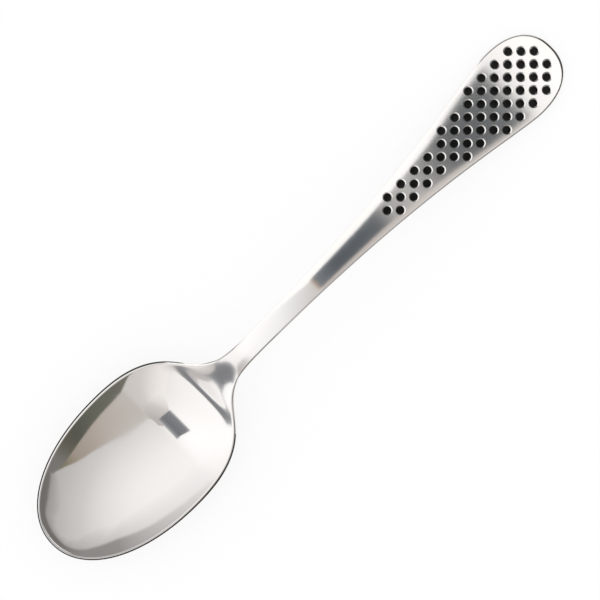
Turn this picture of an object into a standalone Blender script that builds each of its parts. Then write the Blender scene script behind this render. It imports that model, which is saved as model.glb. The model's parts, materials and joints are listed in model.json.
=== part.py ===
"""A one-piece steel tablespoon with a field of round black dots let into the top of its handle."""

import math

import bmesh
import bpy
import numpy as np
from mathutils import Matrix, Vector
from mathutils.geometry import interpolate_bezier

# Plan view in metres: x runs from the tip of the bowl to the end of the handle
BOWL_WIDTH = 0.0408  # mouth of the bowl, inside its rim
BOWL_FRONT = 0.0368  # tip to the widest place
BOWL_BACK = 0.0261  # widest place to the turn of the heel
HEEL_WIDTH = 0.0184  # where the outline turns from the bowl to the neck
NECK_RUN = 0.0205  # turn of the heel to the narrowest place
NECK_WIDTH = 0.0062
HANDLE_RUN = 0.1010  # narrowest place to the widest place of the handle
HANDLE_WIDTH = 0.0234
HANDLE_END = 0.0150  # widest place of the handle to its end
HEEL_SLOPE = 1.42  # how fast the outline narrows at the heel
BOWL_SQUARENESS = 2.1  # 2 is an ellipse, more is fuller
END_SQUARENESS = 2.3
BOWL_BACK_ROUND = 0.0165  # lengths of the outline's curve handles
HEEL_ROUND = 0.0070
NECK_ROUND = 0.0120
FLARE_START_ROUND = 0.0620
FLARE_END_ROUND = 0.0085

# Side view: heights of the upper edge above the table
TIP_HEIGHT = 0.0082
HEEL_HEIGHT = 0.0097
BEND_HEIGHT = 0.0172
BEND_FROM_HEEL = 0.0390  # turn of the heel to the bend of the handle
UPTURN_RISE = 0.0006  # height of the upturn above the level of the handle's end
UPTURN_LENGTH = 0.0140  # part of the handle's end that lies nearly level
HEEL_BLEND = 0.0120  # half of the length over which each corner is rounded
BEND_BLEND = 0.0110
UPTURN_BLEND = 0.0140

# Cross sections
SECTION_POWER = 2.0  # 2 is a parabola, more gives a flatter floor and steeper sides
DEEPEST = 0.0440  # tip to the deepest place of the bowl
TIP_POWER = 4.0  # more gives a steeper tip and a flatter floor
SHOULDER_BEFORE_HEEL = 0.0027  # top of the bowl's back wall, where it turns over to the ledge
SHOULDER_DEPTH = 0.00127  # depth of the centre line below the edges there
SHOULDER_FALL = 0.52  # how fast that depth runs out there
LEDGE_BEFORE_HEEL = 0.0007  # start of the ledge between the back wall and the neck
LEDGE_DEPTH = 0.0009
LEDGE_FALL = -0.15
CROWN_AFTER_HEEL = 0.0105  # turn of the heel to the start of the neck's crown
NECK_CROWN = 0.0003
HANDLE_CROWN = 0.0007
BOWL_WALL = 0.0014
NECK_EDGE = 0.0022
HANDLE_EDGE = 0.0016
RIM_LAND = 0.00035  # from the mouth of the bowl to the top of its rim
RIM_SLANT = 0.80  # how fast the rim falls away outside that
RIM_REACH = 0.00040  # how far the rim stands out beyond the wall below
EDGE_ROUND = 0.00050  # turn of the edges of the neck and handle
REST_FLAT = 0.00025  # depth of the flats that touch the table
END_FLAT = 0.00012

# Field of dots
DOT_DIAMETER = 0.00235
DOT_DEPTH = 0.0008
DOT_CHAMFER = 0.00030
DOT_FROM_END = 0.0044  # first dot to the end of the handle
DOT_FROM_NECK = 0.05022  # narrowest place of the neck to the last dot
DOT_FROM_SIDE = 0.00396  # outer line to the side of the handle at its widest place
INLAY_CLEARANCE = 0.00005
INLAY_BELOW = 0.00005  # edge of the inlay below the foot of the chamfer
INLAY_DISH = 0.00012  # middle of the inlay below its edge
# Each line, staggered by half a step to the next: gaps from the centre, half steps to its first dot, dots
DOT_LINES = {"centre": (0, 1, 12), "inner": (1, 0, 12), "middle": (2, 1, 7), "outer": (3, 2, 4)}

# Facets
FRONT_FACETS = 12
BACK_FACETS = 9
HEEL_FACETS = 10
FLARE_FACETS = 24
END_FACETS = 8
CURVE_FACETS = 40  # fineness of the outline's curves, which the facets then follow
ACROSS_FACETS = 7
DOT_SIDES = 12
INLAY_RINGS = 2
SHARP_DEGREES = 50  # an edge that turns more than this is a sharp one
MERGE = 1e-6

# Stations along the spoon
WIDEST_X = BOWL_FRONT
HEEL_X = WIDEST_X + BOWL_BACK
NECK_X = HEEL_X + NECK_RUN
FLARE_X = NECK_X + HANDLE_RUN
END_X = FLARE_X + HANDLE_END
SHOULDER_X = HEEL_X - SHOULDER_BEFORE_HEEL
LEDGE_X = HEEL_X - LEDGE_BEFORE_HEEL
CROWN_X = HEEL_X + CROWN_AFTER_HEEL


def clear_scene():
    for obj in list(bpy.data.objects):
        bpy.data.objects.remove(obj, do_unlink=True)


def new_collection(name):
    collection = bpy.data.collections.new(name)
    bpy.context.scene.collection.children.link(collection)
    return collection


def steel_material():
    material = bpy.data.materials.new("satin_stainless_steel")
    material.use_nodes = True
    shader = material.node_tree.nodes["Principled BSDF"]
    shader.inputs["Base Color"].default_value = (0.70, 0.69, 0.67, 1.0)
    shader.inputs["Metallic"].default_value = 1.0
    shader.inputs["Roughness"].default_value = 0.22
    return material


def enamel_material():
    material = bpy.data.materials.new("black_enamel")
    material.use_nodes = True
    shader = material.node_tree.nodes["Principled BSDF"]
    shader.inputs["Base Color"].default_value = (0.008, 0.010, 0.009, 1.0)
    shader.inputs["Roughness"].default_value = 0.35
    return material


def quarter(length, half_width, squareness, facets):
    """A quarter of a superellipse, from its end on the axis to its widest place, as (along, across)."""
    angles = [math.pi / 2 * i / facets for i in range(facets + 1)]
    share = 2 / squareness
    return [(length * max(math.cos(a), 0.0) ** share, half_width * math.sin(a) ** share) for a in angles]


def curve_points(*points):
    """Points along a curve from its start, two handles and end, without the start."""
    points = [Vector((x, y, 0)) for x, y in points]
    return [(p.x, p.y) for p in interpolate_bezier(*points, CURVE_FACETS + 1)][1:]


def middle_outline():
    """The upper edge on one side, from the widest place of the bowl to that of the handle."""
    slope = Vector((1.0, -HEEL_SLOPE)).normalized() * HEEL_ROUND
    widest = (WIDEST_X, BOWL_WIDTH / 2)
    heel = (HEEL_X, HEEL_WIDTH / 2)
    neck = (NECK_X, NECK_WIDTH / 2)
    flare = (FLARE_X, HANDLE_WIDTH / 2)
    after_widest = (widest[0] + BOWL_BACK_ROUND, widest[1])
    before_heel = (heel[0] - slope.x, heel[1] - slope.y)
    after_heel = (heel[0] + slope.x, heel[1] + slope.y)
    before_neck = (neck[0] - NECK_ROUND, neck[1])
    after_neck = (neck[0] + FLARE_START_ROUND, neck[1])
    before_flare = (flare[0] - FLARE_END_ROUND, flare[1])
    points = [widest]
    points += curve_points(widest, after_widest, before_heel, heel)
    points += curve_points(heel, after_heel, before_neck, neck)
    points += curve_points(neck, after_neck, before_flare, flare)
    return np.array(points)


MIDDLE_OUTLINE = middle_outline()


def half_width(x):
    if x < WIDEST_X:
        along, half, power = (WIDEST_X - x) / BOWL_FRONT, BOWL_WIDTH / 2, BOWL_SQUARENESS
        return half * max(1 - along**power, 0.0) ** (1 / power)
    if x > FLARE_X:
        along, half, power = (x - FLARE_X) / HANDLE_END, HANDLE_WIDTH / 2, END_SQUARENESS
        return half * max(1 - along**power, 0.0) ** (1 / power)
    return float(np.interp(x, MIDDLE_OUTLINE[:, 0], MIDDLE_OUTLINE[:, 1]))


def edge_share(x, y):
    """0 on the spoon's centre line, or at the middle of the handle's round end, and 1 on its outline."""
    if x > FLARE_X:
        along, across, power = (x - FLARE_X) / HANDLE_END, abs(y) / (HANDLE_WIDTH / 2), END_SQUARENESS
        return min((along**power + across**power) ** (1 / power), 1.0)
    return min(abs(y) / max(half_width(x), MERGE), 1.0)


def ramp(x, start, end):
    share = min(max((x - start) / (end - start), 0.0), 1.0)
    return share * share * (3 - 2 * share)


def hermite(x, start, end):
    """A cubic between two (x, value, slope) ends."""
    length = end[0] - start[0]
    t = (x - start[0]) / length
    rise = start[1] * (2 * t**3 - 3 * t**2 + 1) + end[1] * (3 * t**2 - 2 * t**3)
    return rise + length * (start[2] * (t**3 - 2 * t**2 + t) + end[2] * (t**3 - t**2))


def side_corners():
    """The side view as straight runs between corners: x, height and half of the rounding's length."""
    end_height = HANDLE_EDGE - END_FLAT
    return [
        (0.0, TIP_HEIGHT, 0.0),
        (HEEL_X, HEEL_HEIGHT, HEEL_BLEND),
        (HEEL_X + BEND_FROM_HEEL, BEND_HEIGHT, BEND_BLEND),
        (END_X - UPTURN_LENGTH, end_height + UPTURN_RISE, UPTURN_BLEND),
        (END_X, end_height, 0.0),
    ]


def edge_height(x):
    corners = side_corners()
    height = float(np.interp(x, [c[0] for c in corners], [c[1] for c in corners]))
    for before, corner, after in zip(corners, corners[1:], corners[2:]):
        turn = (after[1] - corner[1]) / (after[0] - corner[0])
        turn -= (corner[1] - before[1]) / (corner[0] - before[0])
        reach = max(corner[2] - abs(x - corner[0]), 0.0)
        height += turn * reach**2 / (4 * corner[2])
    return height


def dish(x):
    """Depth of the centre line below the edges. It is negative where the top is crowned."""
    floor_height = BOWL_WALL - REST_FLAT
    if x < DEEPEST:
        return edge_height(x) - floor_height - (TIP_HEIGHT - floor_height) * (1 - max(x, 0.0) / DEEPEST) ** TIP_POWER
    rim_slope = (HEEL_HEIGHT - TIP_HEIGHT) / HEEL_X
    floor = (DEEPEST, edge_height(DEEPEST) - floor_height, rim_slope)
    shoulder = (SHOULDER_X, SHOULDER_DEPTH, -SHOULDER_FALL)
    ledge = (LEDGE_X, LEDGE_DEPTH, -LEDGE_FALL)
    if x < SHOULDER_X:
        return hermite(x, floor, shoulder)
    if x < LEDGE_X:
        return hermite(x, shoulder, ledge)
    if x < CROWN_X:
        return hermite(x, ledge, (CROWN_X, -NECK_CROWN, 0.0))
    return -NECK_CROWN - (HANDLE_CROWN - NECK_CROWN) * ramp(x, NECK_X, FLARE_X)


def top_height(x, y):
    return edge_height(x) - dish(x) * (1 - edge_share(x, y) ** SECTION_POWER)


def thickness(x, y):
    """Even in the bowl. On the handle the crown is added on top, so that its back is flat across."""
    wall = BOWL_WALL + (NECK_EDGE - BOWL_WALL) * ramp(x, SHOULDER_X, NECK_X)
    wall += (HANDLE_EDGE - NECK_EDGE) * ramp(x, NECK_X, FLARE_X)
    return wall + max(-dish(x), 0.0) * (1 - edge_share(x, y) ** SECTION_POWER)


def surface_up(x, y, step):
    """The direction square to the upper surface."""
    rise_x = (top_height(x + step, y) - top_height(x - step, y)) / (2 * step)
    rise_y = (top_height(x, y + step) - top_height(x, y - step)) / (2 * step)
    return Vector((-rise_x, -rise_y, 1.0)).normalized()


def ribs():
    """Lines from the spoon's middle out to its edge. They fan out round both ends."""
    front = quarter(BOWL_FRONT, BOWL_WIDTH / 2, BOWL_SQUARENESS, FRONT_FACETS)
    end = quarter(HANDLE_END, HANDLE_WIDTH / 2, END_SQUARENESS, END_FACETS)
    stations = list(np.linspace(WIDEST_X, SHOULDER_X, BACK_FACETS + 1))[1:]
    stations += list(np.linspace(LEDGE_X, NECK_X, HEEL_FACETS + 1))
    flare = np.linspace(NECK_X, FLARE_X, FLARE_FACETS + 1)[1:-1]
    crest = max(np.linspace(NECK_X, FLARE_X, FLARE_FACETS * CURVE_FACETS), key=lambda x: top_height(x, 0.0))
    flare[np.argmin(abs(flare - crest))] = crest
    stations += list(flare)
    lines = [(Vector((WIDEST_X, 0)), Vector((WIDEST_X - x, y))) for x, y in front]
    lines += [(Vector((x, 0)), Vector((x, half_width(x)))) for x in stations]
    return lines + [(Vector((FLARE_X, 0)), Vector((FLARE_X + x, y))) for x, y in reversed(end)]


def outward(before, after):
    """The direction in plan out of the outline, which runs from the tip round to the handle's end."""
    along = after - before
    return Vector((-along.y, along.x)).normalized()


def section(root, rim, out):
    """Points of a rib: out over the top from the middle, round the edge and back below."""
    top = []
    below = []
    for i in range(ACROSS_FACETS + 1):
        place = root.lerp(rim - out * EDGE_ROUND, i / ACROSS_FACETS)
        point = Vector((place.x, max(place.y, 0.0), top_height(place.x, place.y)))
        top.append(point)
        below.append(point - surface_up(point.x, point.y, EDGE_ROUND / 4) * thickness(point.x, point.y))
    foot = below[-1]
    height = edge_height(rim.x)
    reach = max((foot.xy - rim).dot(out) + RIM_REACH, 0.0)
    land = min(RIM_LAND, reach / 2 - EDGE_ROUND * 0.8)
    lip = height - RIM_SLANT * (reach - land)
    low = min(foot.z + EDGE_ROUND, lip - EDGE_ROUND / 4)
    corners = [(rim + out * distance).to_3d() for distance in (land, reach, reach)]
    for corner, z in zip(corners, (height, lip, low)):
        corner.z = z
    points = top + corners + below[::-1]
    for point in points:
        point.y = 0.0 if point.y < MERGE else point.y
    return points


def half_body():
    """The half of the body on the +Y side, open along its middle."""
    mesh = bpy.data.meshes.new("spoon_body")
    bm = bmesh.new()
    lines = ribs()
    rows = []
    for i, (root, rim) in enumerate(lines):
        before = lines[i - 1][1] if i else rim - Vector((0, 1))
        after = lines[i + 1][1] if i + 1 < len(lines) else rim + Vector((0, -1))
        out = outward(before, after)
        rows.append([bm.verts.new(point) for point in section(root, rim, out)])
    for row, after in zip(rows, rows[1:]):
        for i in range(len(row) - 1):
            bm.faces.new((row[i], after[i], after[i + 1], row[i + 1]))
    bmesh.ops.remove_doubles(bm, verts=bm.verts, dist=MERGE)
    bm.to_mesh(mesh)
    bm.free()
    mesh.shade_smooth()
    return mesh


def spoon_body(parts, cutters, root):
    body = bpy.data.objects.new("spoon_body", half_body())
    parts.objects.link(body)
    body.parent = root
    body.data.materials.append(steel_material())
    mirror = body.modifiers.new("other side", "MIRROR")
    mirror.use_axis = (False, True, False)
    mirror.merge_threshold = MERGE
    cut = body.modifiers.new("recesses and flats", "BOOLEAN")
    cut.operation = "DIFFERENCE"
    cut.operand_type = "COLLECTION"
    cut.collection = cutters
    cut.solver = "EXACT"
    return body


def turned_mesh(name, profile):
    """A mesh turned round Z from (radius, height) points that run from the top to the bottom."""
    mesh = bpy.data.meshes.new(name + "_profile")
    mesh.from_pydata([(r, 0, z) for r, z in profile], [(i, i + 1) for i in range(len(profile) - 1)], [])
    turner = bpy.data.objects.new(name + "_profile", mesh)
    bpy.context.scene.collection.objects.link(turner)
    screw = turner.modifiers.new("turn", "SCREW")
    screw.steps = DOT_SIDES
    screw.render_steps = DOT_SIDES
    screw.use_merge_vertices = True
    screw.merge_threshold = MERGE
    graph = bpy.context.evaluated_depsgraph_get()
    turned = bpy.data.meshes.new_from_object(turner.evaluated_get(graph))
    turned.name = name
    turned.shade_smooth()
    turned.set_sharp_from_angle(angle=math.radians(SHARP_DEGREES))
    bpy.data.objects.remove(turner, do_unlink=True)
    bpy.data.meshes.remove(mesh)
    return turned


def recess_mesh():
    """The cutter of a recess. Its chamfer runs on as far above the steel as it goes below."""
    radius = DOT_DIAMETER / 2
    mouth = radius + 2 * DOT_CHAMFER
    cone = [(0, DOT_CHAMFER), (mouth, DOT_CHAMFER), (radius, -DOT_CHAMFER)]
    return turned_mesh("dot_recess", cone + [(radius, -DOT_DEPTH), (0, -DOT_DEPTH)])


def inlay_mesh():
    """An inlay with a hollow top, a parabola in section."""
    radius = DOT_DIAMETER / 2 - INLAY_CLEARANCE
    floor = -DOT_DEPTH + INLAY_CLEARANCE
    edge = -DOT_CHAMFER - INLAY_BELOW
    shares = [i / INLAY_RINGS for i in range(INLAY_RINGS + 1)]
    hollow = [(radius * share, edge - INLAY_DISH * (1 - share**2)) for share in shares]
    return turned_mesh("grip_dot", hollow + [(radius, floor), (0, floor)])


def seat(x, y):
    """The frame of the handle's upper surface at a place in plan: its Z is square to the steel."""
    up = surface_up(x, y, DOT_DIAMETER / 4)
    along = Vector((up.z, 0.0, -up.x)).normalized()
    turn = Matrix((along, up.cross(along), up)).transposed().to_4x4()
    return Matrix.Translation((x, y, top_height(x, y))) @ turn


def dot_places():
    """Name and place in plan of each dot, line by line from the end of the handle."""
    first_x = END_X - DOT_FROM_END
    last_x = NECK_X + DOT_FROM_NECK
    half_step = (first_x - last_x) / max(first + 2 * (count - 1) for gaps, first, count in DOT_LINES.values())
    line_gap = (HANDLE_WIDTH / 2 - DOT_FROM_SIDE) / max(gaps for gaps, first, count in DOT_LINES.values())
    places = []
    for line, (gaps, first, count) in DOT_LINES.items():
        sides = (("", 0),) if gaps == 0 else (("_left", 1), ("_right", -1))
        for side, sign in sides:
            for i in range(count):
                name = f"grip_dot_{line}{side}_{i + 1:02d}"
                places.append((name, first_x - half_step * (first + 2 * i), sign * gaps * line_gap))
    return places


def grip_dots(parts, cutters, root):
    recess = recess_mesh()
    inlay = inlay_mesh()
    inlay.materials.append(enamel_material())
    for name, x, y in dot_places():
        dot = bpy.data.objects.new(name, inlay)
        parts.objects.link(dot)
        cutter = bpy.data.objects.new(name + "_recess", recess)
        add_cutter(cutter, cutters)
        for obj in (dot, cutter):
            obj.parent = root
            obj.matrix_local = seat(x, y)


def add_cutter(cutter, cutters):
    cutters.objects.link(cutter)
    cutter.hide_render = True
    cutter.display_type = "WIRE"


def table_cutter(cutters, root):
    """A slab with its top at the table: it leaves the flats that the spoon rests on."""
    mesh = bpy.data.meshes.new("table_flats")
    size = (END_X + 2 * BOWL_WIDTH, 2 * BOWL_WIDTH, BOWL_WALL)
    bm = bmesh.new()
    bmesh.ops.create_cube(bm, size=1.0)
    bmesh.ops.scale(bm, vec=size, verts=bm.verts)
    bmesh.ops.translate(bm, vec=(END_X / 2, 0, -BOWL_WALL / 2), verts=bm.verts)
    bm.to_mesh(mesh)
    bm.free()
    slab = bpy.data.objects.new("table_flats", mesh)
    add_cutter(slab, cutters)
    slab.parent = root


def centre_on_origin(body, root):
    """Moves the whole spoon so that the middle of its length is at the origin."""
    evaluated = body.evaluated_get(bpy.context.evaluated_depsgraph_get())
    ends = [corner[0] for corner in evaluated.bound_box]
    root.location.x = -(min(ends) + max(ends)) / 2


def main():
    clear_scene()
    parts = new_collection("tablespoon")
    cutters = new_collection("cutters")
    cutters.hide_render = True
    root = bpy.data.objects.new("tablespoon_frame", None)
    parts.objects.link(root)
    table_cutter(cutters, root)
    grip_dots(parts, cutters, root)
    body = spoon_body(parts, cutters, root)
    centre_on_origin(body, root)
    print("ok")


main()
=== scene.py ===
import json
import math

import bmesh
import bpy
import numpy as np
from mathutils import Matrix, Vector
from mathutils.geometry import interpolate_bezier

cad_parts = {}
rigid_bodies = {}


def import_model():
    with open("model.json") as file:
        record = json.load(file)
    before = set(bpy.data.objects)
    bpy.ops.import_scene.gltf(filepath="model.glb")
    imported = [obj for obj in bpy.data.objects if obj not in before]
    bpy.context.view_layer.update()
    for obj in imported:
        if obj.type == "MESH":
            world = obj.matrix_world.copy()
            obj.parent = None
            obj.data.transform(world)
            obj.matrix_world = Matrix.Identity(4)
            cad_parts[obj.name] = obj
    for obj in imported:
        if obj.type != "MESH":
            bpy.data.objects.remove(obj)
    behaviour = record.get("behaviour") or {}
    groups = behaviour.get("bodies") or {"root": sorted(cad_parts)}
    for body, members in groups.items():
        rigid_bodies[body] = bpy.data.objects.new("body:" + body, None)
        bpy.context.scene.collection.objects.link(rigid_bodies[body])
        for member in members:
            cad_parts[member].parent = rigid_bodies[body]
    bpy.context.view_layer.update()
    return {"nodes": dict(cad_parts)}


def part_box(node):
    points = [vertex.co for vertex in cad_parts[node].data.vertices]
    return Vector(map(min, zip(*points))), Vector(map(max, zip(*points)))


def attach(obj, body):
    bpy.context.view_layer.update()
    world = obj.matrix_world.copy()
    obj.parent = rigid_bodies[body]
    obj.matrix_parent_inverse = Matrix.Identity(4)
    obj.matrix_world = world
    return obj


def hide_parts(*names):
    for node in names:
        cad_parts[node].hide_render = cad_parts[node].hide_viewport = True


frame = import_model()
scene = bpy.context.scene
scene.view_settings.view_transform = "Standard"
print("frame loaded, nodes:", len(frame["nodes"]))


def fromHex(text):
    values = [int(text[i : i + 2], 16) / 255 for i in (1, 3, 5)]
    linear = [v / 12.92 if v <= 0.04045 else ((v + 0.055) / 1.055) ** 2.4 for v in values]
    return (*linear, 1.0)


# adds one node, sets what it is given and links its inputs
def addNode(tree, kind, settings=None, links=None):
    node = tree.nodes.new(kind)
    for name, value in (settings or {}).items():
        if isinstance(name, str) and hasattr(node, name):
            setattr(node, name, value)
        else:
            node.inputs[name].default_value = value
    for name, source in (links or {}).items():
        tree.links.new(source, node.inputs[name])
    return node


def linkObject(name, data):
    obj = bpy.data.objects.new(name, data)
    scene.collection.objects.link(obj)
    return obj


# turns the evaluated object, its modifiers included, into a plain mesh on the same object
def bakeModifiers(obj):
    graph = bpy.context.evaluated_depsgraph_get()
    baked = bpy.data.meshes.new_from_object(obj.evaluated_get(graph))
    baked.name = obj.name
    obj.modifiers.clear()
    obj.data = baked
    return baked


# Steel body, sizes in metres, x from the tip of the bowl to the end of the handle
body = {
    "bowlWidth": 0.0408, "bowlFront": 0.0368, "bowlBack": 0.0261, "heelWidth": 0.0184,
    "neckRun": 0.0205, "neckWidth": 0.0062,
    "handleRun": 0.1010, "handleWidth": 0.0234, "handleEnd": 0.0150,
    "heelSlope": 1.42, "bowlSquareness": 2.1, "endSquareness": 2.3,
    "bowlBackRound": 0.0165, "heelRound": 0.0070, "neckRound": 0.0120,
    "flareStartRound": 0.0620, "flareEndRound": 0.0085,
    "tipHeight": 0.0082, "heelHeight": 0.0097, "bendHeight": 0.0172, "bendFromHeel": 0.0390,
    "upturnRise": 0.0006, "upturnLength": 0.0140,
    "heelBlend": 0.0120, "bendBlend": 0.0110, "upturnBlend": 0.0140,
    "deepest": 0.0440, "tipPower": 4.0,
    "sectionPower": 2.0, "shoulderBeforeHeel": 0.0036, "shoulderDepth": 0.00174, "shoulderFall": 0.54,
    "ledgeBeforeHeel": 0.0007, "ledgeDepth": 0.00116, "ledgeFall": -0.15,
    "crownAfterHeel": 0.0105, "neckCrown": 0.0003, "handleCrown": 0.0007,
    "bowlWall": 0.0014, "neckEdge": 0.0022, "handleEdge": 0.0016,
    "rimLand": 0.00035, "rimSlant": 0.80, "rimReach": 0.00040, "edgeRound": 0.00050,
    "landClear": 0.80, "lipClear": 0.25, "restFlat": 0.00025, "endFlat": 0.00012,
    "frontRibs": 56, "backRibs": 48, "heelRibs": 44, "flareRibs": 170, "endRibs": 36,
    "across": 26, "rimCuts": 2, "outlinePoints": 121, "sharpAngle": 32,
}
mergeDistance = 1e-6  # points closer than this become one
leastFace = 1e-7  # faces thinner than this are dropped
leastWidth = 1e-9  # stands in for no width at the tip and the end
widestX = body["bowlFront"]
heelX = widestX + body["bowlBack"]
neckX = heelX + body["neckRun"]
flareX = neckX + body["handleRun"]
endX = flareX + body["handleEnd"]
shoulderX = heelX - body["shoulderBeforeHeel"]
ledgeX = heelX - body["ledgeBeforeHeel"]
crownX = heelX + body["crownAfterHeel"]
deepX = body["deepest"]


def middleOutline():
    slope = Vector((1.0, -body["heelSlope"])).normalized() * body["heelRound"]
    widest = (widestX, body["bowlWidth"] / 2)
    heel = (heelX, body["heelWidth"] / 2)
    neck = (neckX, body["neckWidth"] / 2)
    flare = (flareX, body["handleWidth"] / 2)
    curves = [
        (widest, (widest[0] + body["bowlBackRound"], widest[1]),
         (heel[0] - slope.x, heel[1] - slope.y), heel),
        (heel, (heel[0] + slope.x, heel[1] + slope.y),
         (neck[0] - body["neckRound"], neck[1]), neck),
        (neck, (neck[0] + body["flareStartRound"], neck[1]),
         (flare[0] - body["flareEndRound"], flare[1]), flare),
    ]
    points = [widest]
    for curve in curves:
        handles = [Vector((x, y, 0)) for x, y in curve]
        points += [(p.x, p.y) for p in interpolate_bezier(*handles, body["outlinePoints"])[1:]]
    return np.array(points)


outline = middleOutline()


def halfWidth(x):
    front = np.clip((widestX - x) / body["bowlFront"], 0, 1) ** body["bowlSquareness"]
    end = np.clip((x - flareX) / body["handleEnd"], 0, 1) ** body["endSquareness"]
    width = np.interp(x, outline[:, 0], outline[:, 1])
    width = width * (1 - front) ** (1 / body["bowlSquareness"])
    return width * (1 - end) ** (1 / body["endSquareness"])


# 0 on the centre line, 1 on the outline
def edgeShare(x, y):
    straight = np.abs(y) / np.maximum(halfWidth(x), leastWidth)
    along = np.maximum(x - flareX, 0) / body["handleEnd"]
    across = np.abs(y) / (body["handleWidth"] / 2)
    power = body["endSquareness"]
    fan = (along**power + across**power) ** (1 / power)
    return np.minimum(np.where(x > flareX, fan, straight), 1)


def smoothStep(x, start, end):
    share = np.clip((x - start) / (end - start), 0, 1)
    return share * share * (3 - 2 * share)


# cubic between two (x, value, slope) ends
def hermite(x, start, end):
    length = end[0] - start[0]
    t = (x - start[0]) / length
    rise = start[1] * (2 * t**3 - 3 * t**2 + 1) + end[1] * (3 * t**2 - 2 * t**3)
    return rise + length * (start[2] * (t**3 - 2 * t**2 + t) + end[2] * (t**3 - t**2))


# side view: straight runs with rounded corners
def edgeHeight(x):
    endHeight = body["handleEdge"] - body["endFlat"]
    corners = [
        (0.0, body["tipHeight"], 0.0),
        (heelX, body["heelHeight"], body["heelBlend"]),
        (heelX + body["bendFromHeel"], body["bendHeight"], body["bendBlend"]),
        (endX - body["upturnLength"], endHeight + body["upturnRise"], body["upturnBlend"]),
        (endX, endHeight, 0.0),
    ]
    height = np.interp(x, [c[0] for c in corners], [c[1] for c in corners])
    for before, corner, after in zip(corners, corners[1:], corners[2:]):
        turn = (after[1] - corner[1]) / (after[0] - corner[0])
        turn -= (corner[1] - before[1]) / (corner[0] - before[0])
        reach = np.maximum(corner[2] - np.abs(x - corner[0]), 0)
        height = height + turn * reach**2 / (4 * corner[2])
    return height


# depth of the centre line below the edges, negative where the top is crowned
def dish(x):
    rimSlope = (body["heelHeight"] - body["tipHeight"]) / heelX
    floorHeight = body["bowlWall"] - body["restFlat"]
    floor = (deepX, edgeHeight(np.array([deepX]))[0] - floorHeight, rimSlope)
    shoulder = (shoulderX, body["shoulderDepth"], -body["shoulderFall"])
    climb = np.clip(1 - x / deepX, 0, 1) ** body["tipPower"]
    front = edgeHeight(x) - floorHeight - (body["tipHeight"] - floorHeight) * climb
    back = hermite(x, floor, shoulder)
    ledge = (ledgeX, body["ledgeDepth"], -body["ledgeFall"])
    crease = hermite(x, shoulder, ledge)
    rise = hermite(x, ledge, (crownX, -body["neckCrown"], 0.0))
    crown = -body["neckCrown"] - (body["handleCrown"] - body["neckCrown"]) * smoothStep(x, neckX, flareX)
    return np.select([x < deepX, x < shoulderX, x < ledgeX, x < crownX], [front, back, crease, rise], crown)


def topHeight(x, y):
    return edgeHeight(x) - dish(x) * (1 - edgeShare(x, y) ** body["sectionPower"])


def wallAt(x, y):
    wall = body["bowlWall"] + (body["neckEdge"] - body["bowlWall"]) * smoothStep(x, shoulderX, neckX)
    wall = wall + (body["handleEdge"] - body["neckEdge"]) * smoothStep(x, neckX, flareX)
    return wall + np.maximum(-dish(x), 0) * (1 - edgeShare(x, y) ** body["sectionPower"])


# four-sided faces between rows of points
def gridFaces(rows, columns):
    index = np.arange(rows * columns).reshape(rows, columns)
    corners = [index[:-1, :-1], index[1:, :-1], index[1:, 1:], index[:-1, 1:]]
    return np.stack(corners, -1).reshape(-1, 4).tolist()


# points of a quarter superellipse from the axis to the widest place
def quarter(length, half, squareness, count):
    angles = np.linspace(0, math.pi / 2, count + 1)
    power = 2 / squareness
    return length * np.clip(np.cos(angles), 0, 1) ** power, half * np.sin(angles) ** power


# the surface under the top, square to it by the thickness of the wall
def underside(x, y, z):
    step = 1e-5
    riseX = (topHeight(x + step, y) - topHeight(x - step, y)) / (2 * step)
    riseY = (topHeight(x, y + step) - topHeight(x, y - step)) / (2 * step)
    riseY = np.where(y > step, riseY, 0)
    deep = wallAt(x, y) / np.sqrt(riseX**2 + riseY**2 + 1)
    return x + riseX * deep, y + riseY * deep, z - deep


# cuts the corners of lines of points, ends kept, so that they come out round
def roundLines(lines, times):
    keep = 0.75  # share of the nearer corner
    for _ in range(times):
        near = keep * lines[:, :-1] + (1 - keep) * lines[:, 1:]
        far = (1 - keep) * lines[:, :-1] + keep * lines[:, 1:]
        cut = np.stack([near, far], 2).reshape(len(lines), -1, 3)
        lines = np.concatenate([lines[:, :1], cut, lines[:, -1:]], 1)
    return lines


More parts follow.
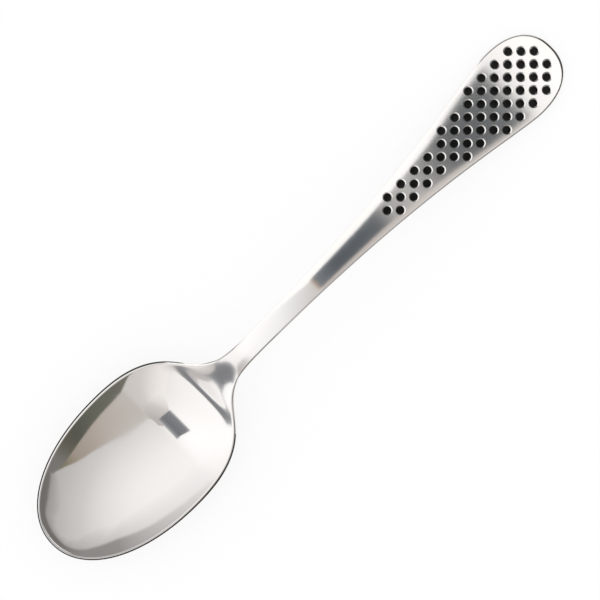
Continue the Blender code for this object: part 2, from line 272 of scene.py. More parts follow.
# one half of the spoon as ribs: out over the top from the middle, round the edge and back below
def halfBody():
    halfBowl = body["bowlWidth"] / 2
    halfHandle = body["handleWidth"] / 2
    frontX, frontY = quarter(body["bowlFront"], halfBowl, body["bowlSquareness"], body["frontRibs"])
    lastX, lastY = quarter(body["handleEnd"], halfHandle, body["endSquareness"], body["endRibs"])
    stations = np.concatenate([
        np.linspace(widestX, heelX, body["backRibs"] + 1)[1:],
        np.linspace(heelX, neckX, body["heelRibs"] + 1)[1:],
        np.linspace(neckX, flareX, body["flareRibs"] + 1)[1:-1],
    ])
    rimX = np.concatenate([widestX - frontX, stations, (flareX + lastX)[::-1]])
    rimY = np.concatenate([frontY, halfWidth(stations), lastY[::-1]])
    rootX = np.concatenate([np.full(frontX.shape, widestX), stations, np.full(lastX.shape, flareX)])
    out = np.stack([-np.gradient(rimY), np.gradient(rimX)], -1)
    out[0] = (-1, 0)
    out[-1] = (1, 0)
    outX, outY = (out / np.hypot(out[:, 0], out[:, 1])[:, None]).T
    share = np.linspace(0, 1, body["across"] + 1)
    turn = body["edgeRound"]
    x = rootX[:, None] + (rimX - outX * turn - rootX)[:, None] * share
    y = np.maximum(rimY - outY * turn, 0)[:, None] * share
    z = topHeight(x, y)
    top = np.stack([x, y, z], -1)
    below = np.stack(underside(x, y, z), -1)
    # corners of the edge, out from the outline and up from the table
    rim = edgeHeight(rimX)
    foot = below[:, -1, 2]
    belowOut = (below[:, -1, 0] - rimX) * outX + (below[:, -1, 1] - rimY) * outY
    reach = np.maximum(belowOut + body["rimReach"], 0)
    land = np.minimum(body["rimLand"], reach / 2 - turn * body["landClear"])
    lip = rim - body["rimSlant"] * (reach - land)
    places = [
        (land, rim),
        (reach, lip),
        (reach, np.minimum(foot + turn, lip - turn * body["lipClear"])),
    ]
    corners = [np.stack([rimX + outX * o, rimY + outY * o, h], -1) for o, h in places]
    edge = roundLines(np.stack([top[:, -1], *corners, below[:, -1]], 1), body["rimCuts"])
    edge[:, :, 1] = np.maximum(edge[:, :, 1], 0)
    points = np.concatenate([top[:, :-1], edge, below[:, -2::-1]], 1)
    mesh = bpy.data.meshes.new("spoonBody")
    mesh.from_pydata(points.reshape(-1, 3).tolist(), [], gridFaces(*points.shape[:2]))
    bm = bmesh.new()
    bm.from_mesh(mesh)
    bmesh.ops.remove_doubles(bm, verts=bm.verts, dist=mergeDistance)
    bmesh.ops.dissolve_degenerate(bm, edges=bm.edges, dist=leastFace)
    bm.to_mesh(mesh)
    bm.free()
    mesh.shade_smooth()
    return mesh


def makeBody():
    obj = linkObject("spoonBody", halfBody())
    mirror = obj.modifiers.new("otherSide", "MIRROR")
    mirror.use_axis = (False, True, False)
    mirror.merge_threshold = mergeDistance
    mesh = bakeModifiers(obj)
    # cuts the flats that touch the table, and sets the middle of the length over the origin
    co = np.array([v.co for v in mesh.vertices])
    low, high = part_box("spoon_body")
    co[:, 2] = np.clip(co[:, 2], low.z, high.z)
    shift = (low.x + high.x) / 2 - (co[:, 0].min() + co[:, 0].max()) / 2
    co[:, 0] = np.clip(co[:, 0] + shift, low.x, high.x)
    co[:, 1] = np.clip(co[:, 1], low.y, high.y)
    mesh.vertices.foreach_set("co", co.ravel())
    mesh.update()
    return obj, shift


spoonBody, planShift = makeBody()
print("steel body:", len(spoonBody.data.polygons), "faces")

# Dots let into the handle
dots = {
    "width": 0.00235, "depth": 0.0008, "chamfer": 0.00030,
    "fromEnd": 0.0044, "fromNeck": 0.05022, "fromSide": 0.00396,
    "clearance": 0.00005, "below": 0.00005, "hollow": 0.00012,
    "sides": 40, "rings": 6, "sharpAngle": 50,
}
# gaps from the centre line, half steps to the first dot, number of dots
dotLines = [(0, 1, 12), (1, 0, 12), (2, 1, 7), (3, 2, 4)]


# one point for each dot, with the direction square to the steel
def seatPoints():
    first = endX - dots["fromEnd"]
    halfSteps = max(start + 2 * (count - 1) for _, start, count in dotLines)
    halfStep = (first - neckX - dots["fromNeck"]) / halfSteps
    lineGap = (body["handleWidth"] / 2 - dots["fromSide"]) / max(gaps for gaps, _, _ in dotLines)
    places = []
    for gaps, start, count in dotLines:
        for side in ((0,) if gaps == 0 else (1, -1)):
            places += [(first - halfStep * (start + 2 * i), side * gaps * lineGap) for i in range(count)]
    x, y = np.array(places).T
    step = dots["width"] / 4
    riseX = (topHeight(x + step, y) - topHeight(x - step, y)) / (2 * step)
    riseY = (topHeight(x, y + step) - topHeight(x, y - step)) / (2 * step)
    up = np.stack([-riseX, -riseY, np.ones(len(x))], -1)
    up /= np.linalg.norm(up, axis=1)[:, None]
    mesh = bpy.data.meshes.new("dotSeats")
    mesh.from_pydata(np.stack([x + planShift, y, topHeight(x, y)], -1).tolist(), [], [])
    direction = mesh.attributes.new("up", "FLOAT_VECTOR", "POINT")
    direction.data.foreach_set("vector", up.astype(np.float32).ravel())
    return linkObject("dotSeats", mesh)


def newTree(name, sizes):
    tree = bpy.data.node_groups.new(name, "GeometryNodeTree")
    tree.interface.new_socket("Geometry", in_out="INPUT", socket_type="NodeSocketGeometry")
    tree.interface.new_socket("Geometry", in_out="OUTPUT", socket_type="NodeSocketGeometry")
    for label, kind in sizes:
        tree.interface.new_socket(label, in_out="INPUT", socket_type=kind)
    return tree


def addTree(obj, tree, values):
    modifier = obj.modifiers.new(tree.name, "NODES")
    modifier.node_group = tree
    sockets = {s.name: s.identifier for s in tree.interface.items_tree if s.in_out == "INPUT"}
    for label, value in values.items():
        modifier[sockets[label]] = value
    bakeModifiers(obj)


# copies of one shape on the seats, each turned square to the steel
def onSeats(tree, points, shape):
    settings = {"data_type": "FLOAT_VECTOR", "Name": "up"}
    up = addNode(tree, "GeometryNodeInputNamedAttribute", settings).outputs["Attribute"]
    turn = addNode(tree, "FunctionNodeAlignRotationToVector", {"axis": "Z"}, {"Vector": up})
    asPoints = addNode(tree, "GeometryNodeMeshToPoints", {}, {"Mesh": points})
    links = {"Points": asPoints.outputs[0], "Instance": shape, "Rotation": turn.outputs[0]}
    copies = addNode(tree, "GeometryNodeInstanceOnPoints", {}, links)
    return addNode(tree, "GeometryNodeRealizeInstances", {}, {"Geometry": copies.outputs[0]})


# the recesses: a countersunk blind hole under each seat, cut out of the body
def recessTree():
    sizes = [("Radius", "NodeSocketFloat"), ("Chamfer", "NodeSocketFloat"), ("Depth", "NodeSocketFloat"),
             ("Sides", "NodeSocketInt"), ("Seats", "NodeSocketObject"), ("Steel", "NodeSocketMaterial")]
    tree = newTree("dotRecesses", sizes)
    source = addNode(tree, "NodeGroupInput").outputs
    twice = addNode(tree, "ShaderNodeMath", {"operation": "MULTIPLY", 1: 2.0}, {0: source["Chamfer"]})
    links = {0: source["Radius"], 1: twice.outputs[0]}
    mouth = addNode(tree, "ShaderNodeMath", {"operation": "ADD"}, links)
    links = {"Vertices": source["Sides"], "Radius Top": mouth.outputs[0], "Radius Bottom": source["Radius"],
             "Depth": twice.outputs[0]}
    cone = addNode(tree, "GeometryNodeMeshCone", {"fill_type": "NGON"}, links)
    low = addNode(tree, "ShaderNodeMath", {"operation": "MULTIPLY", 1: -1.0}, {0: source["Chamfer"]})
    offset = addNode(tree, "ShaderNodeCombineXYZ", {}, {"Z": low.outputs[0]})
    links = {"Geometry": cone.outputs["Mesh"], "Translation": offset.outputs[0]}
    placed = addNode(tree, "GeometryNodeTransform", {}, links)
    links = {0: source["Depth"], 1: source["Chamfer"]}
    shaft = addNode(tree, "ShaderNodeMath", {"operation": "SUBTRACT"}, links)
    links = {"Mesh": placed.outputs[0], "Selection": cone.outputs["Bottom"], "Offset Scale": shaft.outputs[0]}
    hole = addNode(tree, "GeometryNodeExtrudeMesh", {"mode": "FACES"}, links)
    seats = addNode(tree, "GeometryNodeObjectInfo", {}, {"Object": source["Seats"]})
    holes = onSeats(tree, seats.outputs["Geometry"], hole.outputs["Mesh"])
    settings = {"operation": "DIFFERENCE", "solver": "MANIFOLD"}
    links = {0: source["Geometry"], 1: holes.outputs[0]}
    cut = addNode(tree, "GeometryNodeMeshBoolean", settings, links)
    smooth = addNode(tree, "GeometryNodeSetShadeSmooth", {}, {"Geometry": cut.outputs[0]})
    links = {"Geometry": smooth.outputs[0], "Material": source["Steel"]}
    finish = addNode(tree, "GeometryNodeSetMaterial", {}, links)
    addNode(tree, "NodeGroupOutput", {}, {"Geometry": finish.outputs[0]})
    return tree


# the inlays: a disc with a hollow top in each recess
def inlayTree():
    sizes = [("Radius", "NodeSocketFloat"), ("Top", "NodeSocketFloat"), ("Thickness", "NodeSocketFloat"),
             ("Hollow", "NodeSocketFloat"), ("Sides", "NodeSocketInt"), ("Rings", "NodeSocketInt"),
             ("Black", "NodeSocketMaterial")]
    tree = newTree("dotInlays", sizes)
    source = addNode(tree, "NodeGroupInput").outputs
    links = {"Vertices": source["Sides"], "Fill Segments": source["Rings"],
             "Radius": source["Radius"], "Depth": source["Thickness"]}
    disc = addNode(tree, "GeometryNodeMeshCylinder", {"fill_type": "TRIANGLE_FAN"}, links)
    position = addNode(tree, "GeometryNodeInputPosition")
    apart = addNode(tree, "ShaderNodeSeparateXYZ", {}, {"Vector": position.outputs[0]})
    flat = addNode(tree, "ShaderNodeCombineXYZ", {}, {"X": apart.outputs["X"], "Y": apart.outputs["Y"]})
    reach = addNode(tree, "ShaderNodeVectorMath", {"operation": "LENGTH"}, {"Vector": flat.outputs[0]})
    links = {0: reach.outputs["Value"], 1: source["Radius"]}
    share = addNode(tree, "ShaderNodeMath", {"operation": "DIVIDE"}, links)
    square = addNode(tree, "ShaderNodeMath", {"operation": "POWER", 1: 2.0}, {0: share.outputs[0]})
    drop = addNode(tree, "ShaderNodeMath", {"operation": "SUBTRACT", 1: 1.0}, {0: square.outputs[0]})
    onTop = addNode(tree, "ShaderNodeMath", {"operation": "GREATER_THAN", 1: 0.0}, {0: apart.outputs["Z"]})
    links = {0: drop.outputs[0], 1: onTop.outputs[0]}
    topDrop = addNode(tree, "ShaderNodeMath", {"operation": "MULTIPLY"}, links)
    links = {0: topDrop.outputs[0], 1: source["Hollow"]}
    depth = addNode(tree, "ShaderNodeMath", {"operation": "MULTIPLY"}, links)
    sunk = addNode(tree, "ShaderNodeCombineXYZ", {}, {"Z": depth.outputs[0]})
    links = {"Geometry": disc.outputs["Mesh"], "Offset": sunk.outputs[0]}
    hollowed = addNode(tree, "GeometryNodeSetPosition", {}, links)
    links = {0: source["Thickness"], 2: source["Top"]}
    middle = addNode(tree, "ShaderNodeMath", {"operation": "MULTIPLY_ADD", 1: -0.5}, links)
    offset = addNode(tree, "ShaderNodeCombineXYZ", {}, {"Z": middle.outputs[0]})
    links = {"Geometry": hollowed.outputs[0], "Translation": offset.outputs[0]}
    placed = addNode(tree, "GeometryNodeTransform", {}, links)
    copies = onSeats(tree, source["Geometry"], placed.outputs[0])
    smooth = addNode(tree, "GeometryNodeSetShadeSmooth", {}, {"Geometry": copies.outputs[0]})
    links = {"Geometry": smooth.outputs[0], "Material": source["Black"]}
    finish = addNode(tree, "GeometryNodeSetMaterial", {}, links)
    addNode(tree, "NodeGroupOutput", {}, {"Geometry": finish.outputs[0]})
    return tree


# stainless steel, the bowl polished bright and the handle satin: the polishing lines run along the spoon,
# 20 mm long and 0.2 mm apart, coarser than real ones so that they show, and make its sheen a little uneven
steelFinish = {
    "lineLength": 0.020, "lineGap": 0.0002, "lineDetail": 3.0, "lineRange": (0.3, 0.7), "uneven": 0.02,
    "bowlRoughness": 0.07, "handleRoughness": 0.16, "satinFrom": -0.050, "satinTo": -0.034,
    "driftScale": 33.0, "driftDetail": 1.0, "tones": ("#eceae8", "#f0f0f0"),
}


def steelMaterial():
    material = bpy.data.materials.new("satinPolishedStainlessSteel")
    material.use_nodes = True
    tree = material.node_tree
    shader = tree.nodes["Principled BSDF"]
    shader.inputs["Metallic"].default_value = 1.0
    place = addNode(tree, "ShaderNodeTexCoord").outputs["Object"]
    scale = (1 / steelFinish["lineLength"], 1 / steelFinish["lineGap"], 1 / steelFinish["lineGap"])
    lengthwise = addNode(tree, "ShaderNodeMapping", {"Scale": scale}, {"Vector": place})
    settings = {"Scale": 1.0, "Detail": steelFinish["lineDetail"]}
    lines = addNode(tree, "ShaderNodeTexNoise", settings, {"Vector": lengthwise.outputs[0]})
    settings = {"From Min": steelFinish["lineRange"][0], "From Max": steelFinish["lineRange"][1],
                "To Min": -steelFinish["uneven"], "To Max": steelFinish["uneven"]}
    uneven = addNode(tree, "ShaderNodeMapRange", settings, {"Value": lines.outputs["Fac"]})
    apart = addNode(tree, "ShaderNodeSeparateXYZ", {}, {"Vector": place})
    settings = {"interpolation_type": "SMOOTHSTEP",
                "From Min": steelFinish["satinFrom"], "From Max": steelFinish["satinTo"],
                "To Min": steelFinish["bowlRoughness"], "To Max": steelFinish["handleRoughness"]}
    sheen = addNode(tree, "ShaderNodeMapRange", settings, {"Value": apart.outputs["X"]})
    links = {0: sheen.outputs["Result"], 1: uneven.outputs["Result"]}
    roughness = addNode(tree, "ShaderNodeMath", {"operation": "ADD"}, links)
    tree.links.new(roughness.outputs[0], shader.inputs["Roughness"])
    # the tone drifts slightly over about 30 mm
    settings = {"Scale": steelFinish["driftScale"], "Detail": steelFinish["driftDetail"]}
    drift = addNode(tree, "ShaderNodeTexNoise", settings, {"Vector": place})
    tone = addNode(tree, "ShaderNodeValToRGB", {}, {"Fac": drift.outputs["Fac"]})
    for element, shade in zip(tone.color_ramp.elements, steelFinish["tones"]):
        element.color = fromHex(shade)
    tree.links.new(tone.outputs["Color"], shader.inputs["Base Color"])
    return material


# black enamel, stoved in the recesses: smooth, with a slight orange peel 0.4 mm across
enamelFinish = {
    "colour": "#070908", "specular": 0.15, "sheen": (0.25, 0.45), "peelWidth": 0.0004, "peelDetail": 1.0,
}


def enamelMaterial():
    material = bpy.data.materials.new("blackEnamel")
    material.use_nodes = True
    tree = material.node_tree
    shader = tree.nodes["Principled BSDF"]
    shader.inputs["Base Color"].default_value = fromHex(enamelFinish["colour"])
    shader.inputs["Specular IOR Level"].default_value = enamelFinish["specular"]
    place = addNode(tree, "ShaderNodeTexCoord").outputs["Object"]
    settings = {"Scale": 1 / enamelFinish["peelWidth"], "Detail": enamelFinish["peelDetail"]}
    peel = addNode(tree, "ShaderNodeTexNoise", settings, {"Vector": place})
    settings = {"To Min": enamelFinish["sheen"][0], "To Max": enamelFinish["sheen"][1]}
    sheen = addNode(tree, "ShaderNodeMapRange", settings, {"Value": peel.outputs["Fac"]})
    tree.links.new(sheen.outputs["Result"], shader.inputs["Roughness"])
    return material


steel = steelMaterial()
enamel = enamelMaterial()
print("finishes:", steel.name, "and", enamel.name)
gripDots = seatPoints()
seats = linkObject("recessSeats", gripDots.data)
addTree(spoonBody, recessTree(), {
    "Radius": dots["width"] / 2, "Chamfer": dots["chamfer"], "Depth": dots["depth"],
    "Sides": dots["sides"], "Seats": seats, "Steel": steel,
})
bpy.data.objects.remove(seats, do_unlink=True)
spoonBody.data.set_sharp_from_angle(angle=math.radians(body["sharpAngle"]))
inlayTop = -dots["chamfer"] - dots["below"]
addTree(gripDots, inlayTree(), {
    "Radius": dots["width"] / 2 - dots["clearance"], "Top": inlayTop,
    "Thickness": inlayTop + dots["depth"] - dots["clearance"], "Hollow": dots["hollow"],
    "Sides": dots["sides"], "Rings": dots["rings"], "Black": enamel,
})
gripDots.name = "gripDots"
gripDots.data.set_sharp_from_angle(angle=math.radians(dots["sharpAngle"]))
print("recessed body:", len(spoonBody.data.polygons), "faces, dots:", len(gripDots.data.polygons), "faces")

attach(spoonBody, "root")
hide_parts("spoon_body")
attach(gripDots, "root")
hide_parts(*[name for name in frame["nodes"] if name.startswith("grip_dot")])

# Studio: pale floor, white surround, one soft window light, and cards that the steel mirrors
studio = {
    "cameraAt": (0.02545, -0.00140, 0.70657), "cameraTurn": (-1.47946, 1.58779, -44.96547),
    "lens": 148.67, "sensorWidth": 36.0, "clipStart": 0.01, "glow": 1.2,
    "floorSize": 3.0, "floorDrop": 0.0001, "floorColour": "#fdfdfd", "floorRoughness": 0.9, "floorWash": 0.75,
    "windowAt": (-0.70, 0.45, 0.50), "windowSize": (1.3, 1.0), "windowPower": 0.5,
}


# a pale floor, washed out to white for the camera so that only a soft part of the shadow stays
def makeFloor():
    mesh = bpy.data.meshes.new("studioFloor")
    half = studio["floorSize"] / 2
    corners = [(-half, -half, 0), (half, -half, 0), (half, half, 0), (-half, half, 0)]
    mesh.from_pydata(corners, [], [(0, 1, 2, 3)])
    floor = linkObject("studioFloor", mesh)
    material = bpy.data.materials.new("paleFloor")
    material.use_nodes = True
    tree = material.node_tree
    shader = tree.nodes["Principled BSDF"]
    shader.inputs["Base Color"].default_value = fromHex(studio["floorColour"])
    shader.inputs["Roughness"].default_value = studio["floorRoughness"]
    shader.inputs["Specular IOR Level"].default_value = 0.0
    path = addNode(tree, "ShaderNodeLightPath").outputs
    links = {0: path["Is Camera Ray"], 1: path["Is Glossy Ray"]}
    seen = addNode(tree, "ShaderNodeMath", {"operation": "MAXIMUM"}, links)
    links = {0: seen.outputs[0], 1: path["Is Transmission Ray"]}
    seen = addNode(tree, "ShaderNodeMath", {"operation": "MAXIMUM"}, links)
    settings = {"operation": "MULTIPLY", 1: studio["floorWash"]}
    share = addNode(tree, "ShaderNodeMath", settings, {0: seen.outputs[0]})
    white = addNode(tree, "ShaderNodeEmission", {"Strength": 1.0})
    links = {0: share.outputs[0], 1: shader.outputs[0], 2: white.outputs[0]}
    washed = addNode(tree, "ShaderNodeMixShader", {}, links)
    tree.links.new(washed.outputs[0], tree.nodes["Material Output"].inputs["Surface"])
    mesh.materials.append(material)
    floor.location.z = -studio["floorDrop"]


def makeWorld():
    world = bpy.data.worlds.new("studioWhite")
    scene.world = world
    world.use_nodes = True
    background = world.node_tree.nodes["Background"]
    background.inputs["Color"].default_value = (1, 1, 1, 1)
    background.inputs["Strength"].default_value = 1.0


def makeWindow():
    data = bpy.data.lights.new("softWindow", "AREA")
    data.shape = "RECTANGLE"
    data.size, data.size_y = studio["windowSize"]
    data.energy = studio["windowPower"]
    lamp = linkObject("softWindow", data)
    lamp.location = studio["windowAt"]
    lamp.rotation_euler = (-Vector(studio["windowAt"])).to_track_quat("-Z", "Y").to_euler()
    lamp.visible_glossy = False


# the middle of the bowl, from which the far cards are placed
bowlMiddle = -0.066


# the place at an azimuth and a height in degrees, seen from the middle of the bowl
def spot(azimuth, height, reach):
    turn = math.radians(azimuth)
    rise = math.tan(math.radians(height))
    return (reach * math.cos(turn) + bowlMiddle, reach * math.sin(turn), reach * rise)


def farPlaces(reach, *places):
    return [spot(azimuth, height, reach) for azimuth, height in places]


def levelPlaces(height, *places):
    return [(x, y, height) for x, y in places]


# cards that only the steel sees: corners, the line that the shades run along, and the shades on it
cards = {
    "slotCard": {
        "corners": levelPlaces(0.1, (-0.18, -0.031), (-0.12, -0.030), (-0.088, -0.028), (-0.088, 0.028),
                               (-0.115, 0.030), (-0.18, 0.043)),
        "line": levelPlaces(0.1, (-0.18, 0), (-0.08, 0)),
        "shades": [(0, "#b9b9bb"), (0.14, "#7f8082"), (0.64, "#707276"), (0.80, "#86878b"),
                   (0.92, "#bdbcbc")],
    },
    "stripCard": {
        "corners": levelPlaces(0.04, (0.006, -0.0085), (0.039, -0.0095), (0.054, -0.0115), (0.069, -0.014),
                               (0.080, -0.0165), (0.0945, -0.018), (0.0945, 0.0182), (0.080, 0.016),
                               (0.069, 0.0127), (0.054, 0.0102), (0.039, 0.008), (0.006, 0.0058)),
        "line": levelPlaces(0.04, (0, 0), (0.1, 0)),
        "shades": [(0.06, "#c9a78c"), (0.08, "#6c7177"), (0.22, "#4e545b"), (0.32, "#51575d"),
                   (0.405, "#5a5f63"), (0.45, "#a3a19f"), (0.54, "#b0aeac"), (0.64, "#807f7f"),
                   (0.72, "#606264"), (0.94, "#565a5d")],
    },
    "neckCard": {
        "corners": levelPlaces(0.041, (-0.037, -0.03), (0.0076, -0.03), (0.0076, 0.03), (-0.037, 0.03)),
        "line": levelPlaces(0.041, (-0.042, 0), (-0.0039, -0.0209)),
        "shades": [(0.1, "#fffefe"), (0.35, "#f3f2f2"), (0.75, "#d9d8d7"), (1.0, "#cac6c3")],
    },
    "leftCard": {
        "corners": levelPlaces(0.0407, (-0.03, 0.012), (0.0076, 0.0042), (0.0945, 0.0042), (0.0945, 0.04),
                               (-0.03, 0.04)),
        "line": levelPlaces(0.0407, (0, 0), (0, 0.04)),
        "shades": [(0.0, "#fffdfb"), (1.0, "#fffdfb")],
    },
    "rightCard": {
        "corners": levelPlaces(0.041, (0.0076, -0.04), (0.0945, -0.04), (0.0945, 0), (0.0076, 0)),
        "line": levelPlaces(0.041, (0, 0), (0, -0.04)),
        "shades": [(0.1, "#a89d95"), (0.35, "#c4bdb8"), (0.6, "#d8d3cf")],
    },
    "endCard": {
        "corners": levelPlaces(0.0405, (0.0945, -0.04), (0.13, -0.04), (0.13, 0.04), (0.0945, 0.04)),
        "line": levelPlaces(0.0405, (0.0945, 0), (0.13, 0)),
        "shades": [(0.0, "#f0eeec"), (0.4, "#fffdfb")],
    },
    "slotEdge": {
        "corners": farPlaces(0.9, (252, 62), (246, 66), (237, 72.5), (230, 75), (222, 74.5), (205, 72),
                             (193, 66), (193, 43), (197, 36), (202, 31), (209, 27), (216, 28), (223, 31),
                             (230, 38), (237, 39), (244, 41), (249, 46), (252, 54)),
        "line": ((0, 0, 0.4), (0, 0, 1.6)),
        "shades": [(0, "#f0ece9"), (0.19, "#dcd7d4"), (0.3, "#ccc7c4"), (0.42, "#c4bfbc"), (0.74, "#b9b4b1"),
                   (1, "#b5b0ad")],
    },
    "darkCard": {
        "corners": farPlaces(0.9, (234, 0), (240, 9), (246, 14.5), (250, 17.5), (254, 20.5), (256.5, 23),
                             (259, 26), (262, 28.5), (266, 30.5), (270, 31.5), (276, 32), (283, 28),
                             (283, 0)),
        "line": farPlaces(0.9, (251, 0), (283, 0)),
        "shades": [(0.0, "#6c6a62"), (0.3, "#63645a"), (0.5, "#53544c"), (0.62, "#5e5b51"), (0.8, "#757370")],
    },
}
# azimuth and height of the brightest side in degrees, and the shades from the far side to it
tent = {
    "reach": 4.0, "segments": 64, "rings": 32, "brightest": (148, 30),
    "shades": [(0.0, "#86837f"), (0.2, "#9e9b98"), (0.4, "#b6b3b1"), (0.6, "#c9c6c4"), (0.8, "#e5e2e0"),
               (1.0, "#fffefd")],
}
# a dark curtain that fades up into the tent, quickly over its knee and then slowly: azimuth, start and end
# of the fade in degrees, and darkness
curtain = {
    "reach": 1.0, "shade": "#6e6b68", "knee": 2.5, "kneeShare": 0.4,
    "places": [(282, 22, 27, 1), (285, 26, 36, 1), (290, 29, 41, 1), (300, 33, 48, 1), (315, 35, 52, 1),
               (330, 38.5, 48, 1), (345, 40, 46, 1), (360, 40, 46, 1), (375, 39, 47, 0.92),
               (390, 38.5, 50, 0.82), (407, 37, 57, 0.78), (420, 36, 57, 0.8), (434, 34, 51, 0.79),
               (444, 29.5, 51, 0.61), (450, 26.5, 50, 0.5), (455, 24.5, 48, 0.42), (458, 22, 46, 0.35),
               (461, 19, 42, 0.28), (466, 13, 34, 0.18), (474, 5, 30, 0)],
}
# the oval of the low flag round the bowl, with its start and end in half turns from the handle
bowlOval = {"halfLength": 0.050, "halfWidth": 0.037, "top": 0.0145, "start": 0.2, "end": 1.74, "points": 40}


def ovalPlaces():
    angles = np.linspace(bowlOval["start"] * math.pi, bowlOval["end"] * math.pi, bowlOval["points"])
    x = bowlMiddle + bowlOval["halfLength"] * np.cos(angles)
    y = bowlOval["halfWidth"] * np.sin(angles)
    return levelPlaces(bowlOval["top"], *zip(x, y))


# low strips standing round the spoon: places in plan with the top of the strip at each, and its shades
# along a line
strips = {
    "sideWall": {
        "line": farPlaces(0.95, (205, 0), (283, 0)),
        "shades": [(0, "#eeeae7"), (0.21, "#dfd9d6"), (0.40, "#ccc7c3"), (0.60, "#c6c1be"), (0.69, "#bab4ae"),
                   (0.78, "#a99e96"), (0.87, "#9a9084"), (0.934, "#7a735f"), (1.0, "#6a6552")],
        "places": farPlaces(0.95, (205, 66), (215, 66), (225, 66.5), (236, 67), (246, 65.5), (251, 64),
                            (254, 62), (257, 58), (259, 54.5), (262, 51), (266, 47), (270, 44), (274, 40),
                            (278, 34), (283, 27)),
    },
    "bowlFlag": {
        "line": ((0, 0, 0), (1, 0, 0)),
        "shades": [(0, "#2a2b2a"), (1, "#2a2b2a")],
        "places": ovalPlaces(),
    },
    "handleFlag": {
        "line": ((0, 0, 0), (0.12, 0, 0)),
        "shades": [(0, "#a5a3a1"), (0.7, "#8a8886"), (0.9, "#352c26")],
        "places": [(-0.02, -0.03, 0.03), (0.06, -0.03, 0.025), (0.11, -0.03, 0.02), (0.125, -0.008, 0.04),
                   (0.125, 0.012, 0.03)],
    },
    "handleGlow": {
        "line": ((0, 0, 0), (1, 0, 0)),
        "shades": [(0, "#fffdfb"), (1, "#fffdfb")],
        "places": [(-0.03, 0.03, 0.03), (0.06, 0.03, 0.025), (0.085, 0.03, 0.02)],
    },
}


# a card that the camera and the floor don't see
def onlyMirrored(obj):
    obj.visible_camera = False
    obj.visible_diffuse = False
    obj.visible_shadow = False


# a material that glows with the shades, along a line in the object's own space
def makeGlow(name, line, shades):
    material = bpy.data.materials.new(name)
    material.use_nodes = True
    tree = material.node_tree
    tree.nodes.clear()
    start = Vector(line[0])
    run = Vector(line[1]) - start
    place = addNode(tree, "ShaderNodeTexCoord").outputs["Object"]
    away = addNode(tree, "ShaderNodeVectorMath", {"operation": "SUBTRACT", 1: start}, {0: place})
    settings = {"operation": "DOT_PRODUCT", 1: run / run.length_squared}
    along = addNode(tree, "ShaderNodeVectorMath", settings, {0: away.outputs[0]})
    ramp = addNode(tree, "ShaderNodeValToRGB", {}, {"Fac": along.outputs["Value"]})
    elements = ramp.color_ramp.elements
    elements.remove(elements[1])
    for stop, shade in shades:
        elements.new(stop).color = fromHex(shade)
    elements.remove(elements[0])
    glow = addNode(tree, "ShaderNodeEmission", {"Strength": studio["glow"]}, {"Color": ramp.outputs["Color"]})
    addNode(tree, "ShaderNodeOutputMaterial", {}, {"Surface": glow.outputs[0]})
    return material


def makeCard(name, card):
    mesh = bpy.data.meshes.new(name)
    mesh.from_pydata(card["corners"], [], [list(range(len(card["corners"])))])
    mesh.materials.append(makeGlow(name, card["line"], card["shades"]))
    onlyMirrored(linkObject(name, mesh))


# direction of the tent's brightest side
def tentToward():
    azimuth, height = (math.radians(a) for a in tent["brightest"])
    level = math.cos(height)
    return Vector((level * math.cos(azimuth), level * math.sin(azimuth), math.sin(height)))


# the tent round the spoon, brightest to one side
def makeTent():
    mesh = bpy.data.meshes.new("tent")
    bm = bmesh.new()
    bmesh.ops.create_uvsphere(bm, u_segments=tent["segments"], v_segments=tent["rings"], radius=tent["reach"])
    bm.to_mesh(mesh)
    bm.free()
    brightest = tent["reach"] * tentToward()
    mesh.materials.append(makeGlow("tent", (-brightest, brightest), tent["shades"]))
    onlyMirrored(linkObject("tent", mesh))


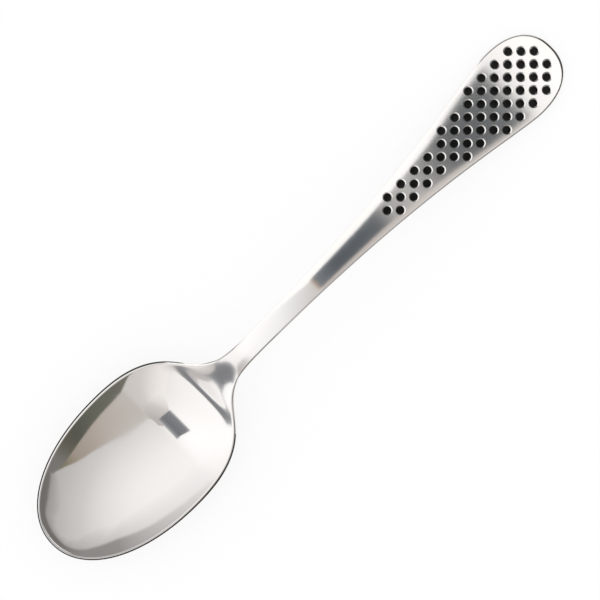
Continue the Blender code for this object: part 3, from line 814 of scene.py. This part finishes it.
# the curtain, in the tent's own shade above its fade
def makeCurtain():
    dark = np.array(fromHex(curtain["shade"]))
    toward = tentToward()
    stops = [stop for stop, _ in tent["shades"]]
    tones = np.array([fromHex(shade) for _, shade in tent["shades"]])
    points = []
    colours = []
    for azimuth, foot, top, darkness in curtain["places"]:
        knee = (foot + curtain["knee"], darkness * curtain["kneeShare"])
        for height, share in ((0, darkness), (foot, darkness), knee, (top, 0)):
            point = Vector(spot(azimuth, height, curtain["reach"]))
            stop = (1 + point.normalized().dot(toward)) / 2
            tone = np.array([np.interp(stop, stops, channel) for channel in tones.T])
            points.append(point)
            colours.append(dark * share + tone * (1 - share))
    count = len(curtain["places"])
    mesh = bpy.data.meshes.new("curtain")
    mesh.from_pydata(points, [], gridFaces(count, len(points) // count))
    shade = mesh.color_attributes.new("shade", "FLOAT_COLOR", "POINT")
    shade.data.foreach_set("color", np.array(colours, np.float32).ravel())
    material = bpy.data.materials.new("curtain")
    material.use_nodes = True
    tree = material.node_tree
    tree.nodes.clear()
    colour = addNode(tree, "ShaderNodeAttribute", {"attribute_name": "shade"}).outputs["Color"]
    glow = addNode(tree, "ShaderNodeEmission", {"Strength": studio["glow"]}, {"Color": colour})
    addNode(tree, "ShaderNodeOutputMaterial", {}, {"Surface": glow.outputs[0]})
    mesh.materials.append(material)
    onlyMirrored(linkObject("curtain", mesh))


def makeStrip(name, strip):
    mesh = bpy.data.meshes.new(name)
    low = [(x, y, 0) for x, y, _ in strip["places"]]
    high = strip["places"]
    count = len(low)
    faces = [(i, i + 1, count + i + 1, count + i) for i in range(count - 1)]
    mesh.from_pydata(low + high, [], faces)
    mesh.materials.append(makeGlow(name, strip["line"], strip["shades"]))
    onlyMirrored(linkObject(name, mesh))


def makeCamera():
    data = bpy.data.cameras.new("photoCamera")
    data.lens = studio["lens"]
    data.sensor_width = studio["sensorWidth"]
    data.sensor_fit = "HORIZONTAL"
    data.clip_start = studio["clipStart"]
    camera = linkObject("photoCamera", data)
    camera.location = studio["cameraAt"]
    camera.rotation_euler = [math.radians(a) for a in studio["cameraTurn"]]
    scene.camera = camera


makeFloor()
makeWorld()
makeWindow()
makeTent()
makeCurtain()
for stripName, stripShape in strips.items():
    makeStrip(stripName, stripShape)
for cardName, cardShape in cards.items():
    makeCard(cardName, cardShape)
makeCamera()
print("studio ready")
